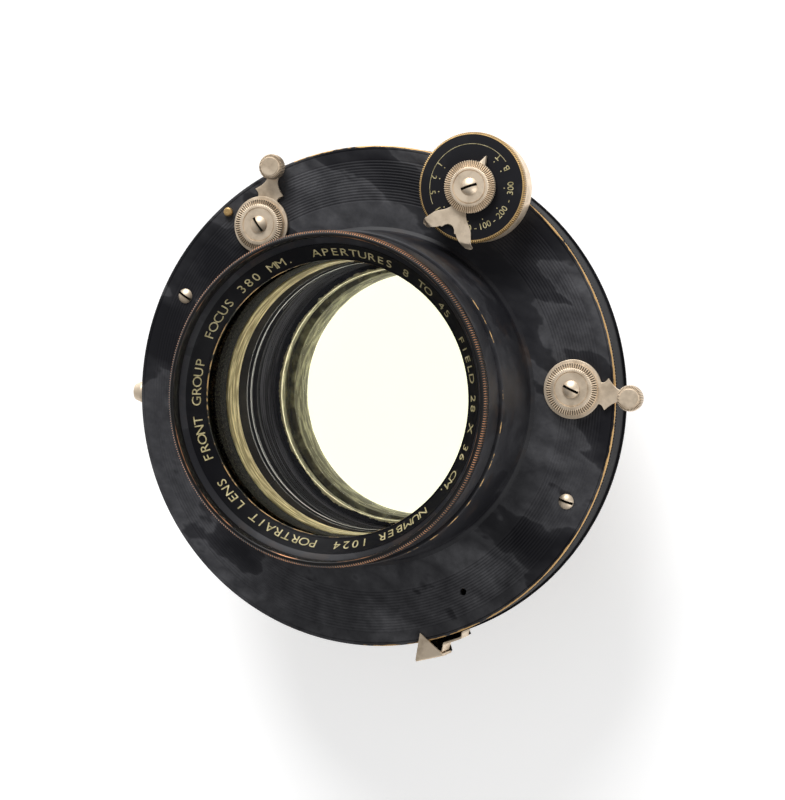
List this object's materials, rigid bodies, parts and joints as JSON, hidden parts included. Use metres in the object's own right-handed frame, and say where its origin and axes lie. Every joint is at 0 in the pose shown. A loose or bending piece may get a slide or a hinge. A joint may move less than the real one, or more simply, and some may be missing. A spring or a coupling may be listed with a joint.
{
  "type": "portrait lens in leaf shutter",
  "caption": "Large-format portrait lens: black-lacquered leaf shutter with speed dial, cocking and release levers, aperture pointer, iris and two glass cells.",
  "frame": {"origin": "on the optical axis, in the rear face of the shutter case that seats on the lens board", "axes": "+Z along the optical axis towards the subject; +Y towards the speed dial, which stands 1.45 degrees clockwise of it; the cocking lever is on the -X side and the release lever on the +X side"},
  "size_m": [0.115, 0.1232, 0.0721],
  "materials": {
    "black_lacquer": "satin black lacquer over brass, worn through to brass at the edges",
    "black_matt": "dead black anti-reflection paint",
    "nickel": "satin nickel plate, warm and slightly tarnished",
    "worn_brass": "bare machined brass",
    "glass": "polished uncoated optical glass",
    "blade_steel": "blackened spring steel"
  },
  "bodies": {
    "housing": {"shutter_case": "black_lacquer", "front_cover": "black_lacquer", "neck": "black_lacquer", "cover_screws": "nickel", "cover_pillars": "worn_brass", "stop_pin": "worn_brass", "front_cell": "black_lacquer", "name_ring": "black_lacquer", "front_glass": "glass", "front_spacer": "black_matt", "front_lock_ring": "worn_brass", "mount_sleeve": "worn_brass", "rear_cell": "black_lacquer", "rear_glass": "glass", "rear_lock_ring": "worn_brass", "shutter_plate": "black_matt", "iris_pivots": "worn_brass", "shutter_pivots": "worn_brass", "dial_post": "worn_brass", "cocking_post": "worn_brass", "release_post": "worn_brass", "dial_drum": "nickel", "index_plate": "nickel", "index_hub": "nickel", "dial_screw": "nickel", "cable_socket": "nickel", "cocking_screw": "nickel", "release_screw": "nickel"},
    "speed_dial": {"speed_dial": "black_lacquer"},
    "cocking_lever": {"cocking_lever": "nickel", "cocking_cap": "nickel", "cocking_knob": "nickel"},
    "release_lever": {"release_lever": "nickel", "release_cap": "nickel", "release_knob": "nickel"},
    "iris_ring": {"iris_ring": "black_matt", "aperture_pointer": "nickel"},
    "blade_ring": {"blade_ring": "black_matt"},
    "cable_plunger": {"cable_plunger": "worn_brass"},
    "iris_blade_1": {"iris_blade_1": "blade_steel"},
    "iris_blade_2": {"iris_blade_2": "blade_steel"},
    "iris_blade_3": {"iris_blade_3": "blade_steel"},
    "iris_blade_4": {"iris_blade_4": "blade_steel"},
    "iris_blade_5": {"iris_blade_5": "blade_steel"},
    "iris_blade_6": {"iris_blade_6": "blade_steel"},
    "iris_blade_7": {"iris_blade_7": "blade_steel"},
    "iris_blade_8": {"iris_blade_8": "blade_steel"},
    "shutter_blade_1": {"shutter_blade_1": "blade_steel"},
    "shutter_blade_2": {"shutter_blade_2": "blade_steel"},
    "shutter_blade_3": {"shutter_blade_3": "blade_steel"},
    "shutter_blade_4": {"shutter_blade_4": "blade_steel"},
    "shutter_blade_5": {"shutter_blade_5": "blade_steel"}
  },
  "joints": [
    {"name": "dial_turn", "type": "hinge", "parent": "housing", "child": "speed_dial", "pos_m": [0.00135, 0.05342, 0.017], "axis": [0, 0, 1], "range_deg": [-120, 120]},
    {"name": "cocking_swing", "type": "hinge", "parent": "housing", "child": "cocking_lever", "pos_m": [-0.04191, 0.02257, 0.011], "axis": [0, 0, 1], "range_deg": [0, 44], "stiffness_Nm_per_rad": 0.02, "springref_deg": -5.73},
    {"name": "release_swing", "type": "hinge", "parent": "housing", "child": "release_lever", "pos_m": [0.04114, 0.02394, 0.011], "axis": [0, 0, 1], "range_deg": [-22, 0], "stiffness_Nm_per_rad": 0.02, "springref_deg": 5.73},
    {"name": "aperture_turn", "type": "hinge", "parent": "housing", "child": "iris_ring", "pos_m": [0, 0, 0.0039], "axis": [0, 0, 1], "range_deg": [-44, 0]},
    {"name": "shutter_turn", "type": "hinge", "parent": "housing", "child": "blade_ring", "pos_m": [0, 0, 0.0069], "axis": [0, 0, 1], "range_deg": [-30, 0]},
    {"name": "plunger_push", "type": "slide", "parent": "housing", "child": "cable_plunger", "axis": [0.8886, 0.4587, 0], "range_m": [0, 0.0022], "stiffness_N_per_m": 100, "springref_m": -0.0005},
    {"name": "iris_blade_1_swing", "type": "hinge", "parent": "housing", "child": "iris_blade_1", "pos_m": [-0.00099, 0.05149, 0.0018], "axis": [0, 0, 1], "range_deg": [0, 30]},
    {"name": "iris_blade_2_swing", "type": "hinge", "parent": "housing", "child": "iris_blade_2", "pos_m": [0.03571, 0.03711, 0.00202], "axis": [0, 0, 1], "range_deg": [0, 30]},
    {"name": "iris_blade_3_swing", "type": "hinge", "parent": "housing", "child": "iris_blade_3", "pos_m": [0.05149, 0.00099, 0.00224], "axis": [0, 0, 1], "range_deg": [0, 30]},
    {"name": "iris_blade_4_swing", "type": "hinge", "parent": "housing", "child": "iris_blade_4", "pos_m": [0.03711, -0.03571, 0.00246], "axis": [0, 0, 1], "range_deg": [0, 30]},
    {"name": "iris_blade_5_swing", "type": "hinge", "parent": "housing", "child": "iris_blade_5", "pos_m": [0.00099, -0.05149, 0.00268], "axis": [0, 0, 1], "range_deg": [0, 30]},
    {"name": "iris_blade_6_swing", "type": "hinge", "parent": "housing", "child": "iris_blade_6", "pos_m": [-0.03571, -0.03711, 0.0029], "axis": [0, 0, 1], "range_deg": [0, 30]},
    {"name": "iris_blade_7_swing", "type": "hinge", "parent": "housing", "child": "iris_blade_7", "pos_m": [-0.05149, -0.00099, 0.00312], "axis": [0, 0, 1], "range_deg": [0, 30]},
    {"name": "iris_blade_8_swing", "type": "hinge", "parent": "housing", "child": "iris_blade_8", "pos_m": [-0.03711, 0.03571, 0.00334], "axis": [0, 0, 1], "range_deg": [0, 30]},
    {"name": "shutter_blade_1_swing", "type": "hinge", "parent": "housing", "child": "shutter_blade_1", "pos_m": [0.02911, 0.04333, 0.00507], "axis": [0, 0, 1], "range_deg": [0, 35]},
    {"name": "shutter_blade_2_swing", "type": "hinge", "parent": "housing", "child": "shutter_blade_2", "pos_m": [0.0502, -0.0143, 0.00537], "axis": [0, 0, 1], "range_deg": [0, 35]},
    {"name": "shutter_blade_3_swing", "type": "hinge", "parent": "housing", "child": "shutter_blade_3", "pos_m": [0.00191, -0.05217, 0.00567], "axis": [0, 0, 1], "range_deg": [0, 35]},
    {"name": "shutter_blade_4_swing", "type": "hinge", "parent": "housing", "child": "shutter_blade_4", "pos_m": [-0.04902, -0.01794, 0.00597], "axis": [0, 0, 1], "range_deg": [0, 35]},
    {"name": "shutter_blade_5_swing", "type": "hinge", "parent": "housing", "child": "shutter_blade_5", "pos_m": [-0.03221, 0.04108, 0.00627], "axis": [0, 0, 1], "range_deg": [0, 35]}
  ],
  "couplings": [
    {"joint": "iris_blade_1_swing", "follows": "aperture_turn", "ratio": -0.68182},
    {"joint": "iris_blade_2_swing", "follows": "aperture_turn", "ratio": -0.68182},
    {"joint": "iris_blade_3_swing", "follows": "aperture_turn", "ratio": -0.68182},
    {"joint": "iris_blade_4_swing", "follows": "aperture_turn", "ratio": -0.68182},
    {"joint": "iris_blade_5_swing", "follows": "aperture_turn", "ratio": -0.68182},
    {"joint": "iris_blade_6_swing", "follows": "aperture_turn", "ratio": -0.68182},
    {"joint": "iris_blade_7_swing", "follows": "aperture_turn", "ratio": -0.68182},
    {"joint": "iris_blade_8_swing", "follows": "aperture_turn", "ratio": -0.68182},
    {"joint": "shutter_blade_1_swing", "follows": "shutter_turn", "ratio": -1.1667},
    {"joint": "shutter_blade_2_swing", "follows": "shutter_turn", "ratio": -1.1667},
    {"joint": "shutter_blade_3_swing", "follows": "shutter_turn", "ratio": -1.1667},
    {"joint": "shutter_blade_4_swing", "follows": "shutter_turn", "ratio": -1.1667},
    {"joint": "shutter_blade_5_swing", "follows": "shutter_turn", "ratio": -1.1667}
  ]
}
